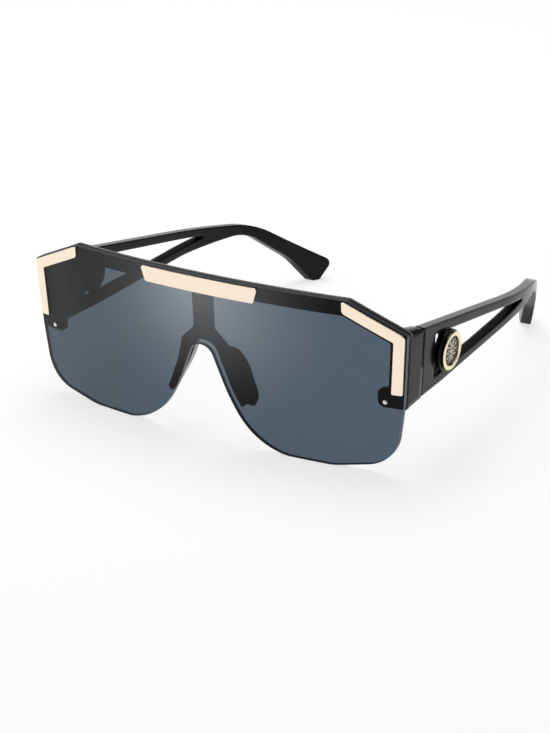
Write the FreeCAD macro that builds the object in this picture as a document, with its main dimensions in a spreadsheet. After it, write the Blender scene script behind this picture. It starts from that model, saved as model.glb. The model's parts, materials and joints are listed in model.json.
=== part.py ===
import FreeCAD, Part
import Sketcher
import math
import os
from types import SimpleNamespace

Vector = FreeCAD.Vector
Placement = FreeCAD.Placement
Rotation = FreeCAD.Rotation

# Shield sunglasses: one lens across a half-rim front, and two folding temples.
# X runs across the face, Y from the lens back to the ears, Z up from the table they stand on.
# Everything is laid out from the middle of the lens front at Y = 0, and moved to the middle of the
# whole object at the end. Left is the wearer's left, +X; the right side is its mirror image.

# Driving dimensions in millimetres, apart from the names ending in share, which are plain ratios.
SIZES = [
    ("front_half_width", 73.7, "middle of the front to the outer bend"),
    ("front_height", 58.1, "lens bottom to brow top"),
    ("bend_drop", 9.1, "brow top down to the outer bend"),
    ("slant_run", 20.2, "width of the slanted upper corner"),
    ("side_lean_share", 0.047, "inward run of the sides for each unit of drop"),
    ("front_lean_share", 0.021, "forward run of the front for each unit of height"),
    ("lens_radius", 389.0, "radius of the lens front seen from above"),
    ("lens_thickness", 1.6, "lens wall"),
    ("rim_depth", 1.8, "rim behind the lens, front to back"),
    ("rim_width", 6.0, "rim at the slants and sides, seen from the front"),
    ("brow_height", 5.8, "rim along the brow, seen from the front"),
    ("tab_bottom_share", 0.394, "height of the lower end of the side rims, of front_height"),
    ("tab_height", 6.0, "lower tab, top to bottom"),
    ("tab_reach", 10.6, "lower tab, from the outer bend inwards"),
    ("bridge_width", 7.4, "bar from the brow to the nose yoke"),
    ("bridge_foot_share", 0.671, "height where the bar widens into the yoke, of front_height"),
    ("seat_gap", 0.05, "glue line between fixed pieces"),
    ("overrun", 5.0, "how far cutting shapes pass their piece"),
    ("plate_thickness", 0.7, "gold plates"),
    ("plate_inset", 0.4, "dark margin outside the gold plates"),
    ("plate_width", 3.6, "corner plates"),
    ("corner_plate_reach", 21.2, "corner plate, from the outer bend inwards"),
    ("corner_plate_foot_share", 0.494, "height of the corner plate's lower end, of front_height"),
    ("brow_plate_top_half", 23.0, "half of the brow plate's upper edge"),
    ("brow_plate_foot_half", 21.3, "half of the brow plate's lower edge"),
    ("brow_plate_height", 5.3, "brow plate, top to bottom"),
    ("stud_radius", 0.7, "studs behind the gold plates"),
    ("stud_depth", 1.1, "how far a stud goes into the rim"),
    ("stud_fit", 0.06, "clearance round a stud, rivet or screw"),
    ("rivet_inset", 7.3, "lens rivet, from the outer bend inwards"),
    ("rivet_height_share", 0.439, "lens rivet above the table, of front_height"),
    ("rivet_radius", 0.6, "lens rivet shank"),
    ("rivet_head_radius", 0.75, "lens rivet head"),
    ("rivet_head_height", 0.4, "lens rivet head"),
    ("pad_depth", 6.5, "nose pad, front to back"),
    ("pad_thickness", 2.8, "nose pad wall"),
    ("pad_gap", 0.45, "nose pad to yoke"),
    ("pad_margin", 0.3, "yoke edge to nose pad"),
    ("pad_rounding", 0.35, "nose pad edges"),
    ("pad_flare_share", 0.25, "outward run of a pad for each unit of depth"),
    ("pad_stud_radius", 0.8, "stud that holds a nose pad"),
    ("pad_stud_length", 1.3, "stud that holds a nose pad"),
    ("seam_depth", 17.6, "lens front to the seam between lug and temple"),
    ("seam_gap", 0.3, "open seam between lug and temple"),
    ("lug_thickness", 4.75, "outer bend to the inner face of the lug"),
    ("lug_facet", 1.8, "facet under the outer bend of the lug"),
    ("shoulder_radius", 4.5, "inside corner between brow and lug, seen from above"),
    ("temple_rise_share", 0.823, "height of the temple's top at the seam, of front_height"),
    ("temple_length", 136.2, "seam to the end of the tip, along Y"),
    ("temple_thickness", 4.0, "temple wall"),
    ("temple_straight", 62.4, "straight stretch of the temple"),
    ("temple_curve_radius", 136.0, "inward curve of the temple's rear half"),
    ("toe_in_share", 0.023, "inward run of the straight stretch for each unit of length"),
    ("temple_rounding", 0.5, "rounding of the temple's long edges"),
    ("medallion_setback", 16.4, "seam to the middle of the medallion"),
    ("medallion_height_share", 0.597, "middle of the medallion above the table, of front_height"),
    ("drum_radius", 7.1, "drum that carries the medallion"),
    ("drum_rise", 1.3, "drum above the temple's outer face"),
    ("drum_seat", 1.2, "drum sunk into the temple's outer face"),
    ("bezel_radius", 6.5, "medallion ring"),
    ("bezel_bore", 5.0, "opening of the medallion ring"),
    ("bezel_height", 1.2, "medallion ring"),
    ("bezel_bevel", 0.25, "bevel of the medallion ring"),
    ("inlay_thickness", 0.5, "black disc in the ring"),
    ("relief_radius", 4.3, "rosette on the disc"),
    ("relief_ring_width", 0.4, "rim of the rosette"),
    ("relief_heart_radius", 1.2, "middle of the rosette"),
    ("relief_petal_width", 1.7, "petals of the rosette"),
    ("relief_height", 0.5, "rosette above the disc"),
    ("hinge_height_share", 0.628, "middle of the hinge above the table, of front_height"),
    ("knuckle_radius", 1.4, "hinge knuckles"),
    ("knuckle_clearance", 0.25, "hinge knuckles to the faces beside them"),
    ("knuckle_height", 1.5, "one hinge knuckle"),
    ("knuckle_gap", 0.1, "gap between two knuckles"),
    ("leaf_thickness", 0.9, "hinge leaves"),
    ("leaf_length", 4.8, "temple leaf, beyond the knuckles"),
    ("leaf_clearance", 0.6, "front leaf to the rim in front of it"),
    ("recess_clearance", 0.3, "temple recess beyond the leaf"),
    ("leaf_setback", 1.7, "hinge axis to the flat of a leaf"),
    ("pin_radius", 0.6, "hinge pin screw"),
    ("pin_fit", 0.03, "running fit round the hinge pin screw"),
    ("pin_head_radius", 1.1, "hinge pin screw head"),
    ("pin_head_height", 0.5, "hinge pin screw head"),
    ("leaf_screw_radius", 0.5, "screws in the hinge leaves"),
    ("leaf_screw_length", 2.6, "screws in the hinge leaves, below the head"),
    ("leaf_screw_head_radius", 0.95, "screws in the hinge leaves"),
    ("leaf_screw_head_height", 0.4, "screws in the hinge leaves"),
    ("leaf_screw_spread", 2.4, "leaf screws above and below the middle of the hinge"),
]

# Outline of the lens from the outer bend down to the top of the nose arch: across as a share of
# front_half_width, up as a share of front_height, and the rounding, which takes that share of the
# shorter side next to the corner.
LENS_OUTLINE_SHARES = [
    (0.984, 0.430, 0.060),
    (0.948, 0.075, 0.440),
    (0.646, -0.004, 0.180),
    (0.281, -0.004, 0.697),
    (0.134, 0.310, 0.237),
    (0.045, 0.582, 0.490),
]

# Outline of a yoke arm below the bridge bar, in the same shares.
YOKE_OUTER_SHARES = [(0.118, 0.592, 0.076), (0.147, 0.446, 0.180), (0.211, 0.251, 0.360)]
YOKE_INNER_SHARES = [(0.193, 0.227, 0.340), (0.147, 0.318, 0.500), (0.056, 0.602, 0.400)]

# Side of a nose pad: back as a share of pad_depth, up as a share of front_height, and the rounding.
PAD_SIDE_SHARES = [
    (0.00, 0.578, 0.300),
    (0.78, 0.536, 0.400),
    (1.03, 0.438, 0.400),
    (0.72, 0.262, 0.420),
    (0.00, 0.220, 0.300),
]
PAD_STUD_HEIGHT_SHARE = 0.386

# Side of a temple: back as a share of temple_length, up as a share of its rise, and the rounding.
TEMPLE_SIDE_SHARES = [
    (0.000, 1.000, 0.000),
    (0.772, 0.612, 0.240),
    (1.000, 0.150, 0.320),
    (0.962, 0.000, 0.170),
    (0.941, 0.000, 0.170),
    (0.883, 0.231, 0.280),
    (0.742, 0.558, 0.290),
    (0.500, 0.556, 0.040),
    (0.100, 0.502, 0.085),
    (0.000, 0.500, 0.000),
]

# Three-cornered opening of a temple, in the same shares, and the post that the drum hides.
OPENING_SIDE_SHARES = [
    (0.058, 0.900, 0.044),
    (0.578, 0.652, 0.340),
    (0.578, 0.632, 0.380),
    (0.310, 0.590, 0.020),
    (0.058, 0.573, 0.038),
]
POST_WIDTH_SHARE = 0.35
POST_DEPTH_SHARE = 0.6

# Studs of a corner plate: how far along the slant and along the side they sit.
SLANT_STUD_SHARE = 0.45
SIDE_STUD_SHARE = 0.55
BROW_STUD_SHARE = 0.70

# Roundings of the rim and the plates, as shares of the shorter side next to the corner.
SLANT_ROUNDING_SHARE = 0.02
BEND_ROUNDING_SHARE = 0.045
TAB_SHOULDER_SHARE = 0.2
TAB_FOOT_ROUNDING_SHARE = 0.4
TAB_TOP_ROUNDING_SHARE = 0.28
TAB_SHOULDER_ROUNDING_SHARE = 0.13
RIM_BEND_ROUNDING_SHARE = 0.067
BROW_END_ROUNDING_SHARE = 0.03
BRIDGE_ROOT_ROUNDING_SHARE = 0.056
BRIDGE_FOOT_ROUNDING_SHARE = 0.095
PLATE_TOP_ROUNDING_SHARE = 0.2
PLATE_END_ROUNDING_SHARE = 0.13
PLATE_TAIL_ROUNDING_SHARE = 0.28
PLATE_BEND_ROUNDING_SHARE = 0.07
PLATE_INNER_BEND_ROUNDING_SHARE = 0.02

# Shapes of the small pieces.
RIVET_CROWN_SHARE = 0.6
PETAL_WAIST_SHARE = 0.6
PETAL_HEIGHT_SHARE = 0.7
ROSETTE_RIM_HEIGHT_SHARE = 0.8
KNUCKLE_COUNT = 5
HINGE_LENGTH = "%d * (dim.knuckle_height + dim.knuckle_gap) - dim.knuckle_gap" % KNUCKLE_COUNT
PETAL_COUNT = 8
TEMPLE_SWEEP_DEGREES = 60
CROSSWISE_SHARE = 0.9

doc = FreeCAD.newDocument("shield_sunglasses")
sheet = doc.addObject("Spreadsheet::Sheet", "dim")
for row, (name, value, meaning) in enumerate(SIZES, start=1):
    sheet.set("A%d" % row, meaning)
    sheet.set("B%d" % row, str(value))
    sheet.setAlias("B%d" % row, name)
doc.recompute()
d = SimpleNamespace(**{name: float(sheet.get(name)) for name, value, meaning in SIZES})

bend_height = d.front_height - d.bend_drop
tab_bottom = d.tab_bottom_share * d.front_height
bridge_foot = d.bridge_foot_share * d.front_height
corner_plate_foot = d.corner_plate_foot_share * d.front_height
rivet_height = d.rivet_height_share * d.front_height
temple_rise = d.temple_rise_share * d.front_height
medallion_height = d.medallion_height_share * d.front_height
hinge_height = d.hinge_height_share * d.front_height
slant_start = d.front_half_width - d.slant_run
brow_foot = d.front_height - d.brow_height
rim_front_radius = d.lens_radius - d.lens_thickness - d.seat_gap
lug_inner = d.front_half_width - d.lug_thickness
leaf_back = lug_inner - d.seat_gap
hinge_x = leaf_back - d.knuckle_clearance - d.knuckle_radius
knuckle_pitch = d.knuckle_height + d.knuckle_gap
hinge_length = KNUCKLE_COUNT * knuckle_pitch - d.knuckle_gap
hinge_foot = hinge_height - hinge_length / 2


def side_x(height):
    """Outer edge of the front and of the lug at a height."""
    return d.front_half_width - d.side_lean_share * (bend_height - height)


def lug_x(height):
    """Outer face of the lug, a hair proud of the rim and level with the temple."""
    return side_x(height) + d.seat_gap


def front_y(x, radius):
    """Depth of an upright cylinder about the lens axis."""
    return d.lens_radius - math.sqrt(radius ** 2 - x ** 2)


# The front leans forward about its lower edge.
lean = Placement(Vector(), Rotation(Vector(1, 0, 0), math.degrees(math.atan(d.front_lean_share))))
backwards = lean.Rotation.multVec(Vector(0, 1, 0))


def in_front(u, v):
    return lean.multVec(Vector(u, -d.overrun, v))


def in_leaning_side(u, v):
    return lean.multVec(Vector(0, u, v))


def in_side(u, v):
    return Vector(0, u, v)


def value_of(expression):
    return float(sheet.evalExpression(expression))


def rounded_wire(corners, lift):
    """Closed wire through corners (u, v, rounding share), rounded and lifted into space."""
    runs = []
    for index, (u, v, share) in enumerate(corners):
        corner = Vector(u, v, 0)
        back = Vector(*corners[index - 1][:2], 0) - corner
        ahead = Vector(*corners[(index + 1) % len(corners)][:2], 0) - corner
        setback = share * min(back.Length, ahead.Length)
        back.normalize()
        ahead.normalize()
        half_angle = back.getAngle(ahead) / 2
        radius = setback * math.tan(half_angle)
        middle = (back + ahead).normalize()
        crown = corner + middle * (radius / math.sin(half_angle) - radius)
        runs.append((corner + back * setback, crown, corner + ahead * setback, share))
    edges = []
    for index, (arrive, crown, leave, share) in enumerate(runs):
        following = runs[(index + 1) % len(runs)][0]
        if share > 0:
            arc = Part.Arc(lift(arrive.x, arrive.y), lift(crown.x, crown.y), lift(leave.x, leave.y))
            edges.append(arc.toShape())
        edges.append(Part.LineSegment(lift(leave.x, leave.y), lift(following.x, following.y)).toShape())
    return Part.Wire(edges)


def mirrored_outline(half):
    """Both halves of an outline, from one half that runs from top to bottom."""
    return half + [(-u, v, share) for u, v, share in reversed(half)]


def front_corners(shares):
    return [(across * d.front_half_width, up * d.front_height, share) for across, up, share in shares]


def extrude(name, wire, direction, length):
    """Solid drawn out from a flat outline; length is an expression of the sheet's sizes."""
    outline = doc.addObject("Part::Feature", name + "_outline")
    outline.Shape = Part.Face(wire)
    prism = doc.addObject("Part::Extrusion", name)
    prism.Base = outline
    prism.DirMode = "Custom"
    prism.Dir = direction
    prism.setExpression("LengthFwd", length)
    prism.Solid = True
    return prism


def front_prism(name, corners):
    return extrude(name, rounded_wire(corners, in_front), backwards, "dim.seam_depth + dim.overrun")


def cylinder(name, radius, height, placement):
    solid = doc.addObject("Part::Cylinder", name)
    solid.setExpression("Radius", radius)
    solid.setExpression("Height", height)
    solid.Placement = placement
    return solid


def box(name, length, width, height, corner):
    solid = doc.addObject("Part::Box", name)
    solid.setExpression("Length", length)
    solid.setExpression("Width", width)
    solid.setExpression("Height", height)
    solid.Placement = Placement(corner, Rotation())
    return solid


def combine(kind, name, shapes):
    result = doc.addObject(kind, name)
    result.Shapes = shapes
    result.Refine = True
    return result


def fuse(name, shapes):
    return combine("Part::MultiFuse", name, shapes)


def common(name, shapes):
    return combine("Part::MultiCommon", name, shapes)


def cut(name, base, tools):
    result = doc.addObject("Part::Cut", name)
    result.Base = base
    result.Tool = fuse(name + "_tools", tools) if len(tools) > 1 else tools[0]
    result.Refine = True
    return result


def is_crosswise(edge):
    """True for an edge that runs straight across its piece, between two faces that meet smoothly."""
    return abs(edge.tangentAt((edge.FirstParameter + edge.LastParameter) / 2).x) > CROSSWISE_SHARE


def mirror(name, source):
    result = doc.addObject("Part::Mirroring", name)
    result.Source = source
    result.Normal = Vector(1, 0, 0)
    return result


def mirror_all(solids):
    return solids + [mirror(solid.Name + "_mirrored", solid) for solid in solids]


def group(name, solids):
    result = doc.addObject("Part::Compound", name)
    result.Links = solids
    return result


def front_band(name, outer, inner):
    """Upright curved wall between two radii about the lens axis."""
    placement = lean.multiply(upright(0, d.lens_radius, -d.overrun))
    height = "dim.front_height + 2 * dim.overrun"
    outside = cylinder(name + "_outside", outer, height, placement)
    inside = cylinder(name + "_inside", inner, height, placement)
    return cut(name, outside, [inside])


def turned_body(name, corners, placement):
    """Body turned about its own Z axis; corners are (radius, height) expressions, None where zero."""
    body = doc.addObject("PartDesign::Body", name)
    profile = body.newObject("Sketcher::SketchObject", name + "_profile")
    plane = [feature for feature in body.Origin.OriginFeatures if feature.Role == "XZ_Plane"][0]
    profile.AttachmentSupport = [(plane, "")]
    profile.MapMode = "FlatFace"
    points = [Vector(value_of(r) if r else 0, value_of(h) if h else 0, 0) for r, h in corners]
    for index, point in enumerate(points):
        profile.addGeometry(Part.LineSegment(point, points[(index + 1) % len(points)]), False)
    origin_point = (-1, 1)
    upright_axis = -2
    level_axis = -1
    for index, (radius, height) in enumerate(corners):
        previous = (index - 1) % len(points)
        profile.addConstraint(Sketcher.Constraint("Coincident", previous, 2, index, 1))
        for kind, axis, expression, start in (("DistanceX", upright_axis, radius, points[index].x),
                                              ("DistanceY", level_axis, height, points[index].y)):
            if expression is None:
                profile.addConstraint(Sketcher.Constraint("PointOnObject", index, 1, axis))
            else:
                number = profile.addConstraint(Sketcher.Constraint(kind, *origin_point, index, 1, start))
                profile.setExpression("Constraints[%d]" % number, expression)
    turning = body.newObject("PartDesign::Revolution", name + "_turning")
    turning.Profile = profile
    turning.ReferenceAxis = (profile, ["V_Axis"])
    turning.Angle = 360
    body.Placement = placement
    return body


def upright(x, y, z):
    return Placement(Vector(x, y, z), Rotation())


def pointing(direction, x, y, z):
    return Placement(Vector(x, y, z), Rotation(Vector(0, 0, 1), direction))


def slant_and_side(distance):
    """Corners of a line that follows the slant and the side at a distance inside them."""
    slant = Vector(d.slant_run, -d.bend_drop, 0).normalize()
    side = Vector(-d.side_lean_share, -1, 0).normalize()
    slant_inwards = Vector(slant.y, -slant.x, 0)
    side_inwards = Vector(side.y, -side.x, 0)
    bend = Vector(d.front_half_width, bend_height, 0)
    on_slant = bend + slant_inwards * distance
    on_side = bend + side_inwards * distance
    gap = on_side - on_slant
    along = (gap.x * side.y - gap.y * side.x) / (slant.x * side.y - slant.y * side.x)
    return on_slant + slant * along, slant, side


def slant_at_height(distance, height):
    corner, slant, side = slant_and_side(distance)
    return corner.x + slant.x * (height - corner.y) / slant.y


def slant_at_x(distance, x):
    corner, slant, side = slant_and_side(distance)
    return corner.y + slant.y * (x - corner.x) / slant.x


def side_at_height(distance, height):
    corner, slant, side = slant_and_side(distance)
    return corner.x + side.x * (height - corner.y) / side.y


def bore(name, radius, length, placement):
    return cylinder(name, "%s + dim.stud_fit" % radius, length, placement)


# Studs behind the gold plates, as places on the front: across and up.
brow_stud_height = d.front_height - d.plate_inset - d.brow_plate_height / 2
brow_stud_place = (BROW_STUD_SHARE * d.brow_plate_foot_half, brow_stud_height)
plate_middle = d.plate_inset + d.plate_width / 2
middle_bend, slant_way, side_way = slant_and_side(plate_middle)
slant_stud = middle_bend - slant_way * (SLANT_STUD_SHARE * d.slant_run)
side_stud = middle_bend + side_way * (SIDE_STUD_SHARE * (bend_height - corner_plate_foot))
stud_places = {"brow": brow_stud_place,
               "slant": (slant_stud.x, slant_stud.y),
               "side": (side_stud.x, side_stud.y)}

STUD_LENGTH = "dim.plate_thickness / 2 + dim.lens_thickness + dim.stud_depth"


def stud_placement(place):
    x, z = place
    y = front_y(x, d.lens_radius + d.plate_thickness / 2)
    return lean.multiply(pointing(Vector(0, 1, 0), x, y, z))


def plate_stud(name):
    return cylinder("stud_" + name, "dim.stud_radius", STUD_LENGTH, stud_placement(stud_places[name]))


def stud_bores(owner):
    bores = [bore("%s_%s_bore" % (owner, name), "dim.stud_radius", STUD_LENGTH + " + dim.stud_fit",
                  stud_placement(place)) for name, place in stud_places.items()]
    return mirror_all(bores)


# Lens rivets stand square to the curved lens.
rivet_x = d.front_half_width - d.rivet_inset
rivet_turn = math.asin(rivet_x / d.lens_radius)
rivet_way = Vector(math.sin(rivet_turn), -math.cos(rivet_turn), 0)
rivet_length = d.lens_thickness + d.seat_gap + d.rim_depth
rivet_foot = Vector(rivet_x, front_y(rivet_x, d.lens_radius), rivet_height) - rivet_way * rivet_length
RIVET_LENGTH = "dim.lens_thickness + dim.seat_gap + dim.rim_depth"
rivet_placement = lean.multiply(pointing(rivet_way, *rivet_foot))


def rivet_bores(owner):
    start = rivet_foot - rivet_way * d.overrun
    length = RIVET_LENGTH + " + 2 * dim.overrun"
    placement = lean.multiply(pointing(rivet_way, *start))
    return mirror_all([bore(owner + "_rivet_bore", "dim.rivet_radius", length, placement)])


def upper_corner():
    """The slanted corner that lens and rim share."""
    return [(slant_start, d.front_height, SLANT_ROUNDING_SHARE),
            (d.front_half_width, bend_height, BEND_ROUNDING_SHARE)]


def make_lens():
    half = upper_corner() + front_corners(LENS_OUTLINE_SHARES)
    blank = common("lens_blank", [
        front_band("lens_band", "dim.lens_radius", "dim.lens_radius - dim.lens_thickness"),
        front_prism("lens_prism", mirrored_outline(half))])
    below_table = box("below_table", "2 * dim.front_half_width", "dim.seam_depth + dim.overrun",
                      "dim.overrun", Vector(-d.front_half_width, -d.overrun, -d.overrun))
    return cut("shield_lens", blank, [below_table] + stud_bores("lens") + rivet_bores("lens"))


def make_lug():
    """Block from the rim back to the seam, with a facet that runs out from under the outer bend."""
    front = front_y(slant_start, d.lens_radius)
    back = d.seam_depth - d.seam_gap / 2
    rear_foot = TEMPLE_SIDE_SHARES[-1][1] * temple_rise
    facet_foot = temple_rise - d.plate_inset
    facet_top = bend_height - d.lug_facet
    front_points = [(lug_inner, slant_at_x(0, lug_inner)),
                    (lug_x(bend_height), bend_height),
                    (lug_x(facet_top), facet_top),
                    (lug_x(tab_bottom), tab_bottom),
                    (lug_inner, tab_bottom)]
    back_points = [(lug_inner, temple_rise),
                   (lug_x(temple_rise) - d.lug_facet, temple_rise),
                   (lug_x(facet_foot), facet_foot),
                   (lug_x(rear_foot), rear_foot),
                   (lug_inner, rear_foot)]
    return common("lug", [ruled_loft("lug_loft", front, front_points, back, back_points),
                          behind_lens("lug_front_curve")])


def make_shoulder():
    """Web that rounds the inside corner between the brow and the lug, level with their tops."""
    front = front_y(slant_start, d.lens_radius)
    back = d.seam_depth - d.seam_gap / 2
    inner = lug_inner - d.shoulder_radius
    outer = lug_inner + d.lug_thickness / 2
    foot = slant_and_side(d.rim_width)[0].y
    inner_foot = slant_at_x(d.rim_width, inner)
    back_top = max(temple_rise, inner_foot + d.seat_gap)
    front_points = [(inner, slant_at_x(0, inner)), (outer, slant_at_x(0, outer)),
                    (outer, foot), (inner, inner_foot)]
    back_points = [(inner, back_top), (outer, temple_rise), (outer, foot), (inner, inner_foot)]
    rim_back = front_y(lug_inner, rim_front_radius - d.rim_depth) - d.front_lean_share * bend_height
    arc_back = rim_back + d.shoulder_radius
    arc_middle = (1 - math.sin(math.radians(45))) * d.shoulder_radius
    start, turn, end = [Vector(x, y, foot - d.overrun) for x, y in (
        (inner, rim_back), (lug_inner - arc_middle, rim_back + arc_middle), (lug_inner, arc_back))]
    corners = [Vector(x, y, foot - d.overrun) for x, y in ((outer, arc_back), (outer, front), (inner, front))]
    edges = [Part.Arc(start, turn, end).toShape()]
    edges += [Part.LineSegment(*pair).toShape() for pair in zip([end] + corners, corners + [start])]
    web = extrude("shoulder_web", Part.Wire(edges), Vector(0, 0, 1), "dim.front_height")
    return common("shoulder", [web, ruled_loft("shoulder_loft", front, front_points, back, back_points),
                               behind_lens("shoulder_front_curve")])


def ruled_loft(name, front, front_points, back, back_points):
    """Straight-sided block between two upright outlines, given as places across and up."""
    sections = []
    for end, depth, points in (("front", front, front_points), ("back", back, back_points)):
        section = doc.addObject("Part::Feature", "%s_%s" % (name, end))
        section.Shape = Part.makePolygon([Vector(x, depth, z) for x, z in points + points[:1]])
        sections.append(section)
    loft = doc.addObject("Part::Loft", name)
    loft.Sections = sections
    loft.Solid = True
    loft.Ruled = True
    return loft


def behind_lens(name):
    """The room behind the lens, up to the rim's front."""
    return cylinder(name, "dim.lens_radius - dim.lens_thickness - dim.seat_gap",
                    "dim.front_height + 2 * dim.overrun",
                    lean.multiply(upright(0, d.lens_radius, -d.overrun)))


def make_frame():
    tab_inner = d.front_half_width - d.tab_reach
    tab_top = tab_bottom + d.tab_height
    tab_shoulder = tab_top + TAB_SHOULDER_SHARE * d.tab_height
    inner_bend = slant_and_side(d.rim_width)[0]
    bridge_edge = d.bridge_width / 2
    half = upper_corner()
    half += [(side_x(tab_bottom), tab_bottom, 0),
             (tab_inner, tab_bottom, TAB_FOOT_ROUNDING_SHARE),
             (tab_inner, tab_top, TAB_TOP_ROUNDING_SHARE),
             (side_at_height(d.rim_width, tab_shoulder), tab_shoulder, TAB_SHOULDER_ROUNDING_SHARE),
             (inner_bend.x, inner_bend.y, RIM_BEND_ROUNDING_SHARE),
             (slant_at_height(d.rim_width, brow_foot), brow_foot, BROW_END_ROUNDING_SHARE),
             (bridge_edge, brow_foot, BRIDGE_ROOT_ROUNDING_SHARE),
             (bridge_edge, bridge_foot, BRIDGE_FOOT_ROUNDING_SHARE)]
    half += front_corners(YOKE_OUTER_SHARES) + front_corners(YOKE_INNER_SHARES)
    rim = common("rim", [
        front_band("rim_band", "dim.lens_radius - dim.lens_thickness - dim.seat_gap",
                   "dim.lens_radius - dim.lens_thickness - dim.seat_gap - dim.rim_depth"),
        front_prism("rim_prism", mirrored_outline(half))])
    lugs = mirror_all([make_lug(), make_shoulder()])
    bores = stud_bores("frame") + rivet_bores("frame") + mirror_all(front_screw_bores() + [pad_stud_bore()])
    return cut("front_frame", fuse("frame_blank", [rim] + lugs), bores)


PLATE_BAND = ("dim.lens_radius + dim.plate_thickness", "dim.lens_radius + dim.seat_gap")


def make_brow_plate():
    top = d.front_height - d.plate_inset
    half = [(d.brow_plate_top_half, top, PLATE_TOP_ROUNDING_SHARE),
            (d.brow_plate_foot_half, top - d.brow_plate_height, PLATE_END_ROUNDING_SHARE)]
    plate = common("brow_plate_blank", [front_band("brow_plate_band", *PLATE_BAND),
                                        front_prism("brow_plate_prism", mirrored_outline(half))])
    return fuse("brow_plate", [plate] + mirror_all([plate_stud("brow")]))


def make_corner_plate():
    outer, inner = d.plate_inset, d.plate_inset + d.plate_width
    end = d.front_half_width - d.corner_plate_reach
    top = d.front_height - outer
    outer_bend = slant_and_side(outer)[0]
    inner_bend = slant_and_side(inner)[0]
    foot = corner_plate_foot
    corners = [(end, top, PLATE_END_ROUNDING_SHARE),
               (slant_at_height(outer, top), top, 0),
               (outer_bend.x, outer_bend.y, PLATE_BEND_ROUNDING_SHARE),
               (side_at_height(outer, foot), foot, PLATE_END_ROUNDING_SHARE),
               (side_at_height(inner, foot), foot, PLATE_END_ROUNDING_SHARE),
               (inner_bend.x, inner_bend.y, PLATE_INNER_BEND_ROUNDING_SHARE),
               (end, slant_at_x(inner, end), PLATE_TAIL_ROUNDING_SHARE)]
    plate = common("corner_plate_blank", [front_band("corner_plate_band", *PLATE_BAND),
                                          front_prism("corner_plate_prism", corners)])
    return fuse("corner_plate_left", [plate, plate_stud("slant"), plate_stud("side")])


def make_rivet():
    return turned_body("lens_rivet_left", [
        (None, None),
        ("dim.rivet_radius", None),
        ("dim.rivet_radius", RIVET_LENGTH + " + dim.seat_gap"),
        ("dim.rivet_head_radius", RIVET_LENGTH + " + dim.seat_gap"),
        ("dim.rivet_head_radius", RIVET_LENGTH + " + dim.rivet_head_height / 2"),
        ("dim.rivet_head_radius * %f" % RIVET_CROWN_SHARE, RIVET_LENGTH + " + dim.rivet_head_height"),
        (None, RIVET_LENGTH + " + dim.rivet_head_height")], rivet_placement)


# A nose pad lies on the rear of its yoke arm and leans outwards as it goes back.
pad_front = d.lens_thickness + d.seat_gap + d.rim_depth + d.pad_gap
pad_edge = [Vector(u, v, 0) for u, v, share in front_corners(YOKE_INNER_SHARES)]
pad_stud_z = PAD_STUD_HEIGHT_SHARE * d.front_height


def pad_line(distance):
    """The yoke arm's inner edge, moved outwards by a distance."""
    low, bend, high = pad_edge
    lines = []
    for start, end in ((low, bend), (bend, high)):
        way = (end - start).normalize()
        outwards = Vector(way.y, -way.x, 0)
        lines.append((start + outwards * distance, end + outwards * distance))
    middle = (lines[0][1] + lines[1][0]) / 2
    return [lines[0][0], middle, lines[1][1]]


def pad_stud_x():
    low, bend, high = pad_line(d.pad_margin + d.pad_thickness / 2)
    return bend.x + (high.x - bend.x) * (pad_stud_z - bend.y) / (high.y - bend.y)


def pad_stud_placement():
    middle = pad_front + d.pad_thickness / 2
    return lean.multiply(pointing(Vector(0, -1, 0), pad_stud_x(), middle, pad_stud_z))


def pad_stud_bore():
    length = "dim.pad_thickness / 2 + dim.pad_gap + dim.pad_stud_length + dim.stud_fit"
    return bore("pad_stud_bore", "dim.pad_stud_radius", length, pad_stud_placement())


def on_pad_front(point):
    return lean.multVec(Vector(point.x, pad_front, point.y))


def make_nose_pad():
    near = pad_line(d.pad_margin)
    far = pad_line(d.pad_margin + d.pad_thickness)
    beyond = near[0] - near[1]
    above = (near[2] - near[1]) / 2
    near_arc = [on_pad_front(point) for point in (near[0] + beyond, near[1], near[2] + above)]
    far_arc = [on_pad_front(point) for point in (far[2] + above, far[1], far[0] + beyond)]
    slab_wire = Part.Wire([Part.Arc(*near_arc).toShape(),
                           Part.LineSegment(near_arc[-1], far_arc[0]).toShape(),
                           Part.Arc(*far_arc).toShape(),
                           Part.LineSegment(far_arc[-1], near_arc[0]).toShape()])
    slab = extrude("pad_slab", slab_wire, backwards + Vector(d.pad_flare_share, 0, 0), "2 * dim.pad_depth")
    side = [(pad_front + back * d.pad_depth, up * d.front_height, share)
            for back, up, share in PAD_SIDE_SHARES]
    side_wire = rounded_wire(side, in_leaning_side)
    side_prism = extrude("pad_side", side_wire, Vector(1, 0, 0), "dim.front_half_width")
    blank = common("pad_blank", [slab, side_prism])
    doc.recompute()
    rounded = doc.addObject("Part::Fillet", "pad_rounded")
    rounded.Base = blank
    rounded.Edges = [(number, d.pad_rounding, d.pad_rounding)
                     for number, edge in enumerate(blank.Shape.Edges, start=1)
                     if edge.BoundBox.YMax > pad_front + d.pad_gap and not is_crosswise(edge)]
    stud = cylinder("pad_stud", "dim.pad_stud_radius",
                    "dim.pad_thickness / 2 + dim.pad_gap + dim.pad_stud_length", pad_stud_placement())
    return fuse("nose_pad_left", [rounded, stud])


# Temple: a curved upright wall, seen from above, trimmed to the side outline.
toe_in = math.atan(d.toe_in_share)
along_temple = Vector(-math.sin(toe_in), math.cos(toe_in), 0)
inwards = Vector(-math.cos(toe_in), -math.sin(toe_in), 0)
face_way = Vector(1, d.toe_in_share, -d.side_lean_share).normalize()


def temple_face(setback, height):
    """Point on the outer face of the temple's straight stretch."""
    return Vector(lug_x(height) - d.toe_in_share * setback, d.seam_depth + setback, height)


def temple_corners(shares, front):
    return [(front + back * d.temple_length, up * temple_rise, share) for back, up, share in shares]


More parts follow.
